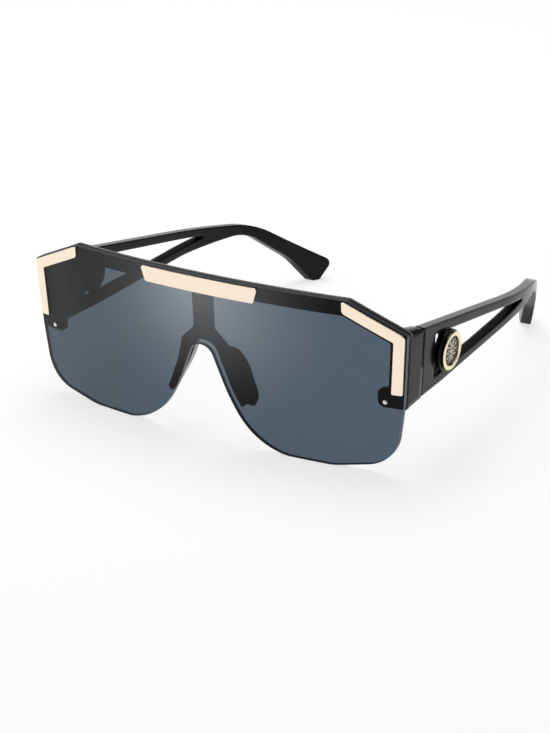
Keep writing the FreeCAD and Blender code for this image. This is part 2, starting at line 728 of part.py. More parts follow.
def temple_wall():
    start = temple_face(-d.overrun, -d.overrun)
    turn = start + along_temple * (d.temple_straight + d.overrun)
    centre = turn + inwards * d.temple_curve_radius

    def on_curve(radius, share):
        angle = math.radians(TEMPLE_SWEEP_DEGREES) * share
        return centre + inwards * (-radius * math.cos(angle)) + along_temple * (radius * math.sin(angle))

    outer = d.temple_curve_radius
    inner = outer - d.temple_thickness
    inner_start = start + inwards * d.temple_thickness
    edges = [Part.LineSegment(start, turn).toShape(),
             Part.Arc(turn, on_curve(outer, 0.5), on_curve(outer, 1)).toShape(),
             Part.LineSegment(on_curve(outer, 1), on_curve(inner, 1)).toShape(),
             Part.Arc(on_curve(inner, 1), on_curve(inner, 0.5), on_curve(inner, 0)).toShape(),
             Part.LineSegment(on_curve(inner, 0), inner_start).toShape(),
             Part.LineSegment(inner_start, start).toShape()]
    leaning = Vector(d.side_lean_share, 0, 1)
    return extrude("temple_wall", Part.Wire(edges), leaning, "dim.front_height + 2 * dim.overrun")


def make_temple():
    butt = d.seam_depth + d.seam_gap / 2
    reach = "dim.front_half_width + dim.overrun"
    side = extrude("temple_side", rounded_wire(temple_corners(TEMPLE_SIDE_SHARES, butt), in_side),
                   Vector(1, 0, 0), reach)
    opening = extrude("temple_opening", rounded_wire(temple_corners(OPENING_SIDE_SHARES, butt), in_side),
                      Vector(1, 0, 0), reach)
    blank = common("temple_blank", [temple_wall(), side])
    doc.recompute()
    rounded = doc.addObject("Part::Fillet", "temple_rounded")
    rounded.Base = blank
    rounded.Edges = [(number, d.temple_rounding, d.temple_rounding)
                     for number, edge in enumerate(blank.Shape.Edges, start=1)
                     if is_long_edge(edge, butt)]
    drum = cylinder("temple_drum", "dim.drum_radius", "dim.drum_seat + dim.drum_rise",
                    medallion_place(-d.drum_seat))
    hinge_seat = box("temple_hinge_seat", "dim.temple_thickness / 2", "dim.leaf_setback + dim.leaf_length",
                     HINGE_LENGTH + " + dim.knuckle_gap",
                     Vector(lug_inner, butt, hinge_foot - d.knuckle_gap / 2))
    post_half = POST_WIDTH_SHARE * d.drum_radius / 2
    middle = d.seam_depth + d.medallion_setback
    post_corners = [(middle - post_half, 0, 0), (middle + post_half, 0, 0),
                    (middle + post_half, temple_rise, 0), (middle - post_half, temple_rise, 0)]
    post_back = temple_face(d.medallion_setback, medallion_height).x - POST_DEPTH_SHARE * d.temple_thickness

    def on_post_back(u, v):
        return Vector(post_back, u, v)

    post = extrude("temple_post", rounded_wire(post_corners, on_post_back), Vector(1, 0, 0), reach)
    window = cut("temple_window", opening, [post])
    recess = box("temple_hinge_recess", "dim.temple_thickness / 2",
                 "dim.leaf_setback + dim.leaf_length + dim.recess_clearance + dim.overrun",
                 HINGE_LENGTH + " + 2 * dim.recess_clearance",
                 Vector(lug_inner - d.temple_thickness / 2, d.seam_depth - d.overrun,
                        hinge_foot - d.recess_clearance))
    whole = fuse("temple_whole", [cut("temple_open", rounded, [window]), drum, hinge_seat])
    return cut("temple_left", whole, [recess] + temple_screw_bores())


def is_long_edge(edge, butt):
    """True for the edges that run along the temple's outer and inner faces."""
    at_butt = edge.BoundBox.YMax < butt + d.seat_gap
    at_table = edge.BoundBox.ZMax < d.seat_gap
    return not (at_butt or at_table or is_crosswise(edge))


def medallion_place(rise):
    return pointing(face_way, *(temple_face(d.medallion_setback, medallion_height) + face_way * rise))


def make_bezel():
    return turned_body("medallion_bezel_left", [
        ("dim.bezel_bore", None),
        ("dim.bezel_radius", None),
        ("dim.bezel_radius", "dim.bezel_height - dim.bezel_bevel"),
        ("dim.bezel_radius - dim.bezel_bevel", "dim.bezel_height"),
        ("dim.bezel_bore + dim.bezel_bevel", "dim.bezel_height"),
        ("dim.bezel_bore", "dim.bezel_height - dim.bezel_bevel")],
        medallion_place(d.drum_rise + d.seat_gap))


def make_inlay():
    return turned_body("medallion_inlay_left", [
        (None, None),
        ("dim.bezel_bore - dim.seat_gap", None),
        ("dim.bezel_bore - dim.seat_gap", "dim.inlay_thickness"),
        (None, "dim.inlay_thickness")],
        medallion_place(d.drum_rise + d.seat_gap))


def make_relief():
    """Rosette: a domed middle, a ring of pointed petals, and a thin rim."""
    body = doc.addObject("PartDesign::Body", "medallion_relief_left")
    plane = [feature for feature in body.Origin.OriginFeatures if feature.Role == "XY_Plane"][0]
    upright_line = [feature for feature in body.Origin.OriginFeatures if feature.Role == "Z_Axis"][0]

    def sketch(name):
        drawing = body.newObject("Sketcher::SketchObject", name)
        drawing.AttachmentSupport = [(plane, "")]
        drawing.MapMode = "FlatFace"
        return drawing

    def circle(drawing, expression):
        number = drawing.addGeometry(Part.Circle(Vector(), Vector(0, 0, 1), value_of(expression)), False)
        drawing.addConstraint(Sketcher.Constraint("Coincident", number, 3, -1, 1))
        held = drawing.addConstraint(Sketcher.Constraint("Radius", number, value_of(expression)))
        drawing.setExpression("Constraints[%d]" % held, expression)

    def pad(drawing, height):
        raised = body.newObject("PartDesign::Pad", drawing.Name + "_pad")
        raised.Profile = drawing
        raised.setExpression("Length", height)
        return raised

    heart = sketch("relief_heart")
    circle(heart, "dim.relief_heart_radius")
    pad(heart, "dim.relief_height")

    petal = sketch("relief_petal")
    inner, outer = "dim.relief_heart_radius / 2", "dim.relief_radius - dim.relief_ring_width / 2"
    wide = "dim.relief_radius * %f" % PETAL_WAIST_SHARE
    tips = [(inner, None),
            (wide, "dim.relief_petal_width / 2"),
            (outer, None),
            (wide, "-dim.relief_petal_width / 2")]
    points = [Vector(value_of(u), value_of(v) if v else 0, 0) for u, v in tips]
    for index, point in enumerate(points):
        petal.addGeometry(Part.LineSegment(point, points[(index + 1) % len(points)]), False)
    for index, (u, v) in enumerate(tips):
        previous = (index - 1) % len(points)
        petal.addConstraint(Sketcher.Constraint("Coincident", previous, 2, index, 1))
        held = petal.addConstraint(Sketcher.Constraint("DistanceX", -1, 1, index, 1, points[index].x))
        petal.setExpression("Constraints[%d]" % held, u)
        if v is None:
            petal.addConstraint(Sketcher.Constraint("PointOnObject", index, 1, -1))
        else:
            held = petal.addConstraint(Sketcher.Constraint("DistanceY", -1, 1, index, 1, points[index].y))
            petal.setExpression("Constraints[%d]" % held, v)
    petal_pad = pad(petal, "dim.relief_height * %f" % PETAL_HEIGHT_SHARE)
    petals = body.newObject("PartDesign::PolarPattern", "relief_petals")
    petals.Originals = [petal_pad]
    petals.Axis = (upright_line, [""])
    petals.Angle = 360
    petals.Occurrences = PETAL_COUNT
    body.Tip = petals

    rim = sketch("relief_rim")
    circle(rim, "dim.relief_radius")
    circle(rim, "dim.relief_radius - dim.relief_ring_width")
    pad(rim, "dim.relief_height * %f" % ROSETTE_RIM_HEIGHT_SHARE)
    body.Placement = medallion_place(d.drum_rise + d.inlay_thickness + 2 * d.seat_gap)
    return body


# Hinge: the leaves lie flat on the inner faces, with the upright axis just inside them.
# The front leaf ends short of the rim, where the rim reaches furthest back.
RIM_REAR_RADIUS = "(dim.lens_radius - dim.lens_thickness - dim.seat_gap - dim.rim_depth)"
LUG_INNER = "(dim.front_half_width - dim.lug_thickness)"
RIM_REAR = "(dim.lens_radius - sqrt(%s ^ 2 - %s ^ 2))" % (RIM_REAR_RADIUS, LUG_INNER)
FRONT_LEAF_LENGTH = "dim.seam_depth - dim.leaf_setback - dim.leaf_clearance - %s" % RIM_REAR


def leaf_length_of(side):
    return "dim.leaf_length" if side > 0 else FRONT_LEAF_LENGTH


def make_leaf(name, side, knuckles, screw_bores):
    """Leaf on one side of the seam, -1 in front and +1 behind, with its share of the knuckles."""
    leaf_x = leaf_back - d.leaf_thickness
    pieces = []
    for number in knuckles:
        foot = hinge_foot + number * knuckle_pitch
        pieces.append(cylinder("%s_knuckle_%d" % (name, number), "dim.knuckle_radius", "dim.knuckle_height",
                               upright(hinge_x, d.seam_depth, foot)))
        web_y = d.seam_depth if side > 0 else d.seam_depth - d.leaf_setback
        pieces.append(box("%s_web_%d" % (name, number), "dim.leaf_thickness", "dim.leaf_setback",
                          "dim.knuckle_height", Vector(leaf_x, web_y, foot)))
    length = leaf_length_of(side)
    near = d.seam_depth + d.leaf_setback if side > 0 else d.seam_depth - d.leaf_setback - value_of(length)
    pieces.append(box(name + "_flat", "dim.leaf_thickness", length, HINGE_LENGTH,
                      Vector(leaf_x, near, hinge_foot)))
    pin_bore = cylinder(name + "_pin_bore", "dim.pin_radius + dim.pin_fit",
                        HINGE_LENGTH + " + dim.knuckle_gap",
                        upright(hinge_x, d.seam_depth, hinge_foot - d.knuckle_gap / 2))
    return cut(name, fuse(name + "_blank", pieces), [pin_bore] + screw_bores)


def leaf_screw_places(side):
    y = d.seam_depth + side * (d.leaf_setback + value_of(leaf_length_of(side)) / 2)
    heights = (hinge_height - d.leaf_screw_spread, hinge_height + d.leaf_screw_spread)
    return [Vector(leaf_back - d.leaf_thickness, y, z) for z in heights]


def leaf_screw_bores(owner, side):
    return [bore("%s_screw_bore_%d" % (owner, number), "dim.leaf_screw_radius",
                 "dim.leaf_screw_length + dim.stud_fit", pointing(Vector(1, 0, 0), *place))
            for number, place in enumerate(leaf_screw_places(side))]


def front_screw_bores():
    return leaf_screw_bores("frame", -1)


def temple_screw_bores():
    return leaf_screw_bores("temple", 1)


def make_leaf_screws(owner, side):
    screws = []
    for number, place in enumerate(leaf_screw_places(side)):
        name = "%s_leaf_screw_%d" % (owner, number)
        seat = place - Vector(d.seat_gap, 0, 0)
        shank = cylinder(name + "_shank", "dim.leaf_screw_radius", "dim.leaf_screw_length",
                         pointing(Vector(1, 0, 0), *seat))
        head = cylinder(name + "_head", "dim.leaf_screw_head_radius", "dim.leaf_screw_head_height",
                        pointing(Vector(-1, 0, 0), *seat))
        screws.append(fuse(name, [shank, head]))
    return screws


def make_hinge_screw():
    length = HINGE_LENGTH + " + dim.seat_gap"
    return turned_body("hinge_screw_left", [
        (None, None),
        ("dim.pin_radius", None),
        ("dim.pin_radius", length),
        ("dim.pin_head_radius", length),
        ("dim.pin_head_radius", length + " + dim.pin_head_height"),
        (None, length + " + dim.pin_head_height")], upright(hinge_x, d.seam_depth, hinge_foot))


left_pieces = [
    make_corner_plate(),
    make_rivet(),
    make_nose_pad(),
    make_temple(),
    make_bezel(),
    make_inlay(),
    make_relief(),
    make_leaf("hinge_front_leaf_left", -1, range(0, KNUCKLE_COUNT, 2), leaf_screw_bores("front_leaf", -1)),
    make_leaf("hinge_temple_leaf_left", 1, range(1, KNUCKLE_COUNT, 2), leaf_screw_bores("temple_leaf", 1)),
    make_hinge_screw(),
    group("temple_leaf_screws_left", make_leaf_screws("temple", 1)),
]
right_pieces = [mirror(piece.Name.replace("_left", "_right"), piece) for piece in left_pieces]
middle_pieces = [
    make_frame(),
    make_lens(),
    make_brow_plate(),
    group("front_leaf_screws", mirror_all(make_leaf_screws("front", -1))),
]
pieces = middle_pieces + left_pieces + right_pieces
doc.recompute()

for item in doc.Objects:
    if "Invalid" in item.State or "Error" in item.State:
        raise RuntimeError("%s failed: %s" % (item.Label, item.State))

# The origin is on the table, under the middle of the whole object.
boxes = [piece.Shape.optimalBoundingBox(False) for piece in pieces]
middle_y = (min(b.YMin for b in boxes) + max(b.YMax for b in boxes)) / 2
for piece in pieces:
    piece.Label = piece.Name
    piece.Placement = Placement(Vector(0, -middle_y, 0), Rotation()).multiply(piece.Placement)
    if piece.Shape.isNull() or not piece.Shape.isValid():
        raise RuntimeError("%s has no valid shape" % piece.Label)

os.makedirs("parts", exist_ok=True)
for piece in pieces:
    piece.Shape.exportStep("parts/%s.step" % piece.Label)
    print(piece.Label, len(piece.Shape.Solids), round(piece.Shape.Volume, 2))
print("hinge axis", round(hinge_x, 4), round(d.seam_depth - middle_y, 4), "middle", round(middle_y, 4))
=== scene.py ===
import bpy
import json
import math
from mathutils import Matrix, Vector


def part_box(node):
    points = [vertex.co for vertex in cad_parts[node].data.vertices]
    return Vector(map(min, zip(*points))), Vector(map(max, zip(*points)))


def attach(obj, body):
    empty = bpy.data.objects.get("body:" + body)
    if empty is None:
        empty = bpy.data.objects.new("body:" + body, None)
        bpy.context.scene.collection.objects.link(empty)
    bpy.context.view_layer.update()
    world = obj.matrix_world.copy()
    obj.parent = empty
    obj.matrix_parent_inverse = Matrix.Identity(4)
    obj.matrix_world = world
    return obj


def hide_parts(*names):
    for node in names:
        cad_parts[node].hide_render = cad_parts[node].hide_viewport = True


# Shield sunglasses, standing open on a white table. Lengths are in metres, as in the CAD frame:
# X across the face, Y from the lens back to the temple tips, Z up from the table.
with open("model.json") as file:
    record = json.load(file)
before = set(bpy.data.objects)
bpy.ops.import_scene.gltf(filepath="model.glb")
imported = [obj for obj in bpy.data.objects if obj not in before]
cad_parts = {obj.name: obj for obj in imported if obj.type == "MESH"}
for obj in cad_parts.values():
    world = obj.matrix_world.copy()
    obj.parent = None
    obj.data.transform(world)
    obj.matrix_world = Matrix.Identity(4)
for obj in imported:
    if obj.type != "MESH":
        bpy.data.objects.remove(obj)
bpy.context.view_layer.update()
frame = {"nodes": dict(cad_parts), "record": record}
nodes = frame["nodes"]
bodies = frame["record"]["behaviour"]["bodies"]
BODY_OF = {node: body for body, members in bodies.items() for node in members}
MM = 0.001
SIDES = {"left": 1, "right": -1}

# The lens is a cylinder's wall, bent across the face, whose upright axis leans a little.
LENS_RADIUS = 389 * MM
LENS_THICKNESS = 1.6 * MM
LENS_FOOT = Vector((0, -75.457 * MM, 0))
LENS_LEAN_SLOPE = 0.021
LENS_LEAN = Matrix.Rotation(math.atan(LENS_LEAN_SLOPE), 3, "X")
LENS_STRIP = 3 * MM
LENS_FLAT_DEGREES = 0.25

# Faces of the lens, by how square they are to its wall, and how far up its top edge faces. These pick out
# the top edge, which gets painted shade, and the arrises, which get a painted shadow line.
CUT_EDGE_SLOPE = 0.3
WALL_SLOPE = 0.95
TOP_EDGE_RISE = 0.3

# Where the lens's coat and tint change: a bloom at the top of the middle, where the coat thickens and a
# paler tint is a painted reflection, and the wearer's right, where the coat thickens over a darker tint
# that is painted shade.
BLOOM_HEIGHT = 54 * MM
BLOOM_REACH = 56 * MM
BLOOM_RISE = 52 * MM
SHEEN_AND_SHADE_START = 15 * MM
SHEEN_AND_SHADE_RUN = 45 * MM
THIN_COAT = 0.06

# Grain of the finishes. The brushing and the saw grit are drawn coarser than real ones, so that they show.
POLISH_CLOUD = 9 * MM
POLISH_RIPPLE = 5 * MM
RIPPLE_DEPTH = 0.1 * MM
RIPPLE_STRENGTH = 0.04
BRUSH_WIDTH = 0.12 * MM
BRUSH_STRETCH = (0.06, 1.0, 1.0)
BRUSH_DEPTH = 0.02 * MM
BRUSH_SPREAD = 0.05
PLATING_CLOUD = 7 * MM
SAW_GRIT = 0.6 * MM
SAW_SPREAD = 0.06

# How far the light runs round the edges of the mouldings.
ROUND_OVER = 1.2 * MM
FRONT_ROUND_OVER = 2.2 * MM
PAD_ROUND_OVER = 0.6 * MM
ENAMEL_ROUND_OVER = 0.2 * MM

# The medallions lie square to the temples, which toe in and lean a little.
TEMPLE_TOE_IN = 0.023
TEMPLE_LEAN = 0.047
RING_WALL_SLOPE = 0.3

# The rosette: a boss, two rings of petals and a border of beads. The inner petals sit half a step round.
ROSETTE_RADIUS = 4.2 * MM
ROSETTE_HEIGHT = 0.5 * MM
BOSS_WIDTH = 1.9 * MM
PETAL_COUNT = 10
OUTER_PETAL_WIDTH = 1.35 * MM
OUTER_LENGTH_SHARE = 0.5
OUTER_HEIGHT_SHARE = 0.66
OUTER_PINCH = 0.9
INNER_PETAL_WIDTH = 0.95 * MM
INNER_LENGTH_SHARE = 0.36
INNER_HEIGHT_SHARE = 0.86
INNER_PINCH = 0.7
INNER_TURN = 0.5
BEAD_COUNT = 26
BEAD_RADIUS = 0.24 * MM
DOME_SEGMENTS = 16
DOME_RINGS = 8
PETAL_SMOOTH_DEGREES = 50

# Dressing of the CAD pieces: what is merged, and what counts as flat, sharp or smooth.
MERGE_DISTANCE = 0.002 * MM
FLAT_DEGREES = 0.4
SHARP_DEGREES = 35
SMOOTH_DEGREES = 32

# Rounding of the sharp edges in millimetres, and its segments.
DRESSED = {
    "front_frame": (0.2, 3), "shield_lens": (0.12, 2), "brow_plate": (0.16, 3), "corner_plate": (0.16, 3),
    "lens_rivet": (0.1, 2), "nose_pad": (0.0, 0), "temple": (0.25, 3), "medallion_bezel": (0.1, 2),
    "medallion_inlay": (0.05, 2), "hinge_front_leaf": (0.1, 2), "hinge_temple_leaf": (0.1, 2),
    "hinge_screw": (0.1, 2), "front_leaf_screws": (0.1, 2), "temple_leaf_screws": (0.1, 2),
}

# Studio: the table, the shade of the walls at each height, and the lamps' places, sizes and powers.
TABLE_SIZE = 6.0
TABLE_DROP = 0.01 * MM
PAPER_GLOW_SHARE = 0.68
SWEEP_SHADE = 1.0
WALL_SHADES = ((0.2, 1.0), (0.3, 0.14), (0.72, 0.14))
CEILING_SHADE = 0.85
SOFTBOXES = {
    "softbox over": ((-0.25, 0.25, 1.0), 0.9, 9.5),
    "softbox left": ((-0.9, -0.5, 0.7), 0.6, 2.0),
}

# Camera: azimuth, elevation and roll in degrees, and the photograph's focal length and height in pixels.
CAMERA_DEGREES = (33.001, 23.060, -1.164)
CAMERA_DISTANCE = 654.82 * MM
CAMERA_TARGET = Vector((2.60, -35.46, 11.43)) * MM
CAMERA_CLIP = 10 * MM
FOCAL_PIXELS = 1868.77
PICTURE_PIXELS = 733
SENSOR_WIDTH = 36

# Colour sockets of a Mix node.
MIX_FIRST = 6
MIX_SECOND = 7
MIX_RESULT = 2


def linear(hex_colour):
    """sRGB hex colour as linear RGBA."""
    channels = [int(hex_colour[i:i + 2], 16) / 255 for i in (1, 3, 5)]
    return [c / 12.92 if c <= 0.04045 else ((c + 0.055) / 1.055) ** 2.4 for c in channels] + [1.0]


def grey(level):
    """Linear grey as RGBA."""
    return (level, level, level, 1)


def add_node(material, kind, settings=None, links=None):
    """Adds a node; settings are socket or property values, links are socket: (node, output)."""
    tree = material.node_tree
    node = tree.nodes.new(kind)
    for key, value in (settings or {}).items():
        if isinstance(key, int) or key in node.inputs:
            node.inputs[key].default_value = value
        else:
            setattr(node, key, value)
    for key, (source, output) in (links or {}).items():
        tree.links.new(source.outputs[output], node.inputs[key])
    return node


def new_material(name):
    """An empty material."""
    material = bpy.data.materials.new(name)
    material.use_nodes = True
    material.node_tree.nodes.clear()
    return material


def finish_material(material, shader):
    """Joins the shader to the material's surface."""
    add_node(material, "ShaderNodeOutputMaterial", links={"Surface": (shader, "BSDF")})
    return material


def moulded_black(name, colour, roughness, spread, round_over):
    """Injection-moulded plastic, or enamel: deep black with an even gloss that the polish breaks up a
    little. Its tumbled edges lead the light round softly."""
    material = new_material(name)
    place = add_node(material, "ShaderNodeTexCoord")
    cloud = add_node(material, "ShaderNodeTexNoise", {"Scale": 1 / POLISH_CLOUD, "Detail": 3.0},
                     {"Vector": (place, "Object")})
    gloss = add_node(material, "ShaderNodeMapRange",
                     {"To Min": roughness - spread, "To Max": roughness + spread},
                     {"Value": (cloud, "Fac")})
    ripple = add_node(material, "ShaderNodeTexNoise", {"Scale": 1 / POLISH_RIPPLE, "Detail": 1.0},
                      {"Vector": (place, "Object")})
    tumbled = add_node(material, "ShaderNodeBevel", {"samples": 8, "Radius": round_over})
    bump = add_node(material, "ShaderNodeBump", {"Strength": RIPPLE_STRENGTH, "Distance": RIPPLE_DEPTH},
                    {"Height": (ripple, "Fac"), "Normal": (tumbled, "Normal")})
    shader = add_node(material, "ShaderNodeBsdfPrincipled",
                      {"Base Color": linear(colour), "IOR": 1.5, "Specular IOR Level": 0.16},
                      {"Roughness": (gloss, "Result"), "Normal": (bump, "Normal")})
    return finish_material(material, shader)


def smoke_polycarbonate(name, deep, pale, painted_shade_tint, flash, sheen):
    """Smoke-grey polycarbonate with a flash mirror coat: slate against white, and a soft silver
    bloom at the top of the middle, where the coat is thickest and a paler tint is a painted reflection.
    Towards the wearer's right the coat thickens again over a tint darkened as painted shade."""
    material = new_material(name)
    place = add_node(material, "ShaderNodeTexCoord")
    middle = add_node(material, "ShaderNodeMapping",
                      {"Location": (0, 0, -BLOOM_HEIGHT / BLOOM_RISE),
                       "Scale": (1 / BLOOM_REACH, 0, 1 / BLOOM_RISE)},
                      {"Vector": (place, "Object")})
    bloom = add_node(material, "ShaderNodeTexGradient", {"gradient_type": "QUADRATIC_SPHERE"},
                     {"Vector": (middle, "Vector")})
    rightwards = add_node(material, "ShaderNodeMapping",
                          {"Location": (-SHEEN_AND_SHADE_START / SHEEN_AND_SHADE_RUN, 0, 0), "Scale": (-1 / SHEEN_AND_SHADE_RUN, 0, 0)},
                          {"Vector": (place, "Object")})
    side = add_node(material, "ShaderNodeTexGradient", {"gradient_type": "LINEAR"},
                    {"Vector": (rightwards, "Vector")})
    middle_coat = add_node(material, "ShaderNodeMapRange", {"To Min": THIN_COAT, "To Max": flash},
                           {"Value": (bloom, "Fac")})
    coat = add_node(material, "ShaderNodeMath", {"operation": "MULTIPLY_ADD", 1: sheen},
                    {0: (side, "Fac"), 2: (middle_coat, "Result")})
    # Painted reflection: the tint is paler in the bloom at the top of the middle.
    painted_reflection_tint = add_node(material, "ShaderNodeMix",
                           {"data_type": "RGBA", MIX_FIRST: linear(deep), MIX_SECOND: linear(pale)},
                           {"Factor": (bloom, "Fac")})
    # Painted shade: the tint darkens towards the wearer's right.
    tint = add_node(material, "ShaderNodeMix", {"data_type": "RGBA", MIX_SECOND: linear(painted_shade_tint)},
                    {"Factor": (side, "Fac"), MIX_FIRST: (painted_reflection_tint, MIX_RESULT)})
    shader = add_node(material, "ShaderNodeBsdfPrincipled",
                      {"IOR": 1.02, "Roughness": 0.0, "Transmission Weight": 1.0,
                       "Coat IOR": 2.3, "Coat Roughness": 0.02},
                      {"Coat Weight": (coat, "Value"), "Base Color": (tint, MIX_RESULT)})
    return finish_material(material, shader)


def plated_metal(name, colour, worn, roughness, brush):
    """Plated or blackened metal: fine brushing along X blurs what it mirrors, and its colour is a
    little darker in places."""
    material = new_material(name)
    place = add_node(material, "ShaderNodeTexCoord")
    stretch = add_node(material, "ShaderNodeMapping", {"Scale": BRUSH_STRETCH},
                       {"Vector": (place, "Object")})
    lines = add_node(material, "ShaderNodeTexNoise", {"Scale": 1 / BRUSH_WIDTH, "Detail": 2.0},
                     {"Vector": (stretch, "Vector")})
    cloud = add_node(material, "ShaderNodeTexNoise", {"Scale": 1 / PLATING_CLOUD, "Detail": 2.0},
                     {"Vector": (place, "Object")})
    tint = add_node(material, "ShaderNodeMix",
                    {"data_type": "RGBA", MIX_FIRST: linear(colour), MIX_SECOND: linear(worn)},
                    {"Factor": (cloud, "Fac")})
    gloss = add_node(material, "ShaderNodeMapRange",
                     {"To Min": roughness - BRUSH_SPREAD, "To Max": roughness + BRUSH_SPREAD},
                     {"Value": (lines, "Fac")})
    bump = add_node(material, "ShaderNodeBump", {"Strength": brush, "Distance": BRUSH_DEPTH},
                    {"Height": (lines, "Fac")})
    shader = add_node(material, "ShaderNodeBsdfPrincipled", {"Metallic": 1.0},
                      {"Roughness": (gloss, "Result"), "Normal": (bump, "Normal"),
                       "Base Color": (tint, MIX_RESULT)})
    return finish_material(material, shader)


def sawn_polycarbonate(name, colour, roughness):
    """Cut and tumbled edge of a tinted sheet: a satin grey, duller than the polished faces. Its darker
    greys are painted shade on the lens's top edge and a painted shadow line on its arrises.
    """
    material = new_material(name)
    place = add_node(material, "ShaderNodeTexCoord")
    grit = add_node(material, "ShaderNodeTexNoise", {"Scale": 1 / SAW_GRIT, "Detail": 2.0},
                    {"Vector": (place, "Object")})
    gloss = add_node(material, "ShaderNodeMapRange",
                     {"To Min": roughness - SAW_SPREAD, "To Max": roughness + SAW_SPREAD},
                     {"Value": (grit, "Fac")})
    shader = add_node(material, "ShaderNodeBsdfPrincipled", {"Base Color": linear(colour), "IOR": 1.3},
                      {"Roughness": (gloss, "Result")})
    return finish_material(material, shader)


black_nylon = moulded_black("polished black nylon", "#0a0a0b", 0.16, 0.03, ROUND_OVER)
front_nylon = moulded_black("polished black nylon front", "#0a0a0b", 0.09, 0.02, FRONT_ROUND_OVER)
pad_plastic = moulded_black("moulded black pad plastic", "#0d0d0e", 0.16, 0.03, PAD_ROUND_OVER)
black_enamel = moulded_black("black enamel", "#060606", 0.08, 0.02, ENAMEL_ROUND_OVER)
lens_edge = sawn_polycarbonate("sawn lens edge", "#555c65", 0.3)
# Painted shade: the lens's top edge is darker than its other cut edges.
lens_top_edge_painted_shade = sawn_polycarbonate("sawn lens brow", "#303339", 0.3)
# Painted shadow: a near-black line along the lens's arrises.
lens_arris_painted_shadow = sawn_polycarbonate("dark lens arris", "#14181c", 0.25)
# The lens's pale tint is a painted reflection, and its darker side tint is painted shade.
smoke_lens = smoke_polycarbonate("smoke polycarbonate", "#505d69", "#79818a", "#48545e", 0.82, 0.18)
pale_gold = plated_metal("pale gold plate", "#fff1de", "#feebd4", 0.34, 0.05)
bright_steel = plated_metal("polished steel", "#e9e8e6", "#d9d8d6", 0.14, 0.02)
ring_gold = plated_metal("yellow gold ring", "#f8edc9", "#efe2b8", 0.22, 0.03)
hinge_steel = plated_metal("black oxide steel", "#3a3a3d", "#2c2c2f", 0.36, 0.05)
relief_pewter = plated_metal("antique pewter", "#d9d4c8", "#a39d90", 0.24, 0.03)

FINISHES = {
    "front_frame": front_nylon, "shield_lens": smoke_lens, "brow_plate": pale_gold,
    "front_leaf_screws": hinge_steel, "corner_plate": pale_gold, "lens_rivet": bright_steel,
    "nose_pad": pad_plastic, "temple": black_nylon, "medallion_bezel": ring_gold,
    "medallion_inlay": black_enamel, "medallion_relief": relief_pewter, "hinge_front_leaf": hinge_steel,
    "hinge_temple_leaf": hinge_steel, "hinge_screw": hinge_steel, "temple_leaf_screws": hinge_steel,
}


def kind_of(node):
    """A node's name without its side."""
    return node.replace("_left", "").replace("_right", "")


def add_finish(piece, material, chosen):
    """A second finish for the faces that chosen picks."""
    piece.data.materials.append(material)
    for face in piece.data.polygons:
        if chosen(face):
            face.material_index = len(piece.data.materials) - 1


def lens_slope(face):
    """How square a face of the lens is to the lens wall: 1 on the wall, 0 on the cut edge."""
    place = LENS_LEAN.inverted() @ (face.center - LENS_FOOT)
    outwards = LENS_LEAN @ Vector((place.x, place.y - LENS_RADIUS, 0)).normalized()
    return abs(outwards.dot(face.normal))


def finish_lens(lens):
    """Satin edges, with a painted shadow line on the arrises and painted shade on the top edge."""
    def is_edge(face):
        return lens_slope(face) < CUT_EDGE_SLOPE and face.normal.z < TOP_EDGE_RISE

    def is_top_edge(face):
        return lens_slope(face) < CUT_EDGE_SLOPE and face.normal.z >= TOP_EDGE_RISE

    def is_arris(face):
        return CUT_EDGE_SLOPE <= lens_slope(face) < WALL_SLOPE

    add_finish(lens, lens_edge, is_edge)
    add_finish(lens, lens_top_edge_painted_shade, is_top_edge)
    add_finish(lens, lens_arris_painted_shadow, is_arris)


def medallion_axis(node):
    """Middle of a medallion's piece, and the way it faces."""
    low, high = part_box(node)
    side = SIDES[node.rsplit("_", 1)[1]]
    return (Vector(low) + Vector(high)) / 2, Vector((side, TEMPLE_TOE_IN, -TEMPLE_LEAN)).normalized()


def finish_ring(ring):
    """The ring's outer wall is lacquered black, as the drum is."""
    middle, facing = medallion_axis(ring.name.replace("_dressed", ""))

    def is_outer_wall(face):
        return abs(face.normal.dot(facing)) < RING_WALL_SLOPE and face.normal.dot(face.center - middle) > 0

    add_finish(ring, black_enamel, is_outer_wall)


SECOND_FINISHES = {"shield_lens": finish_lens, "medallion_bezel": finish_ring}


def round_lens(lens):
    """Cuts the lens into upright strips and brings its two faces onto their true curves."""
    bpy.ops.object.mode_set(mode="EDIT")
    low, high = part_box("shield_lens")
    strips = round((high[0] - low[0]) / LENS_STRIP)
    for number in range(1, strips):
        cut_at = low[0] + (high[0] - low[0]) * number / strips
        bpy.ops.mesh.select_all(action="SELECT")
        bpy.ops.mesh.bisect(plane_co=(cut_at, 0, 0), plane_no=(1, 0, 0))
    bpy.ops.object.mode_set(mode="OBJECT")
    for vertex in lens.data.vertices:
        place = LENS_LEAN.inverted() @ (vertex.co - LENS_FOOT)
        outwards = Vector((place.x, place.y - LENS_RADIUS, 0))
        depth = LENS_RADIUS - outwards.length
        radius = LENS_RADIUS if depth < LENS_THICKNESS / 2 else LENS_RADIUS - LENS_THICKNESS
        outwards = outwards.normalized() * radius
        vertex.co = LENS_LEAN @ Vector((outwards.x, outwards.y + LENS_RADIUS, place.z)) + LENS_FOOT
    bpy.ops.object.mode_set(mode="EDIT")
    bpy.ops.mesh.select_all(action="SELECT")
    bpy.ops.mesh.dissolve_limited(angle_limit=math.radians(LENS_FLAT_DEGREES))
    bpy.ops.object.mode_set(mode="OBJECT")


def stand_for(piece, node):
    """Puts a piece on the node's body, in its place, and hides the CAD node."""
    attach(piece, BODY_OF[node])
    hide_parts(node)


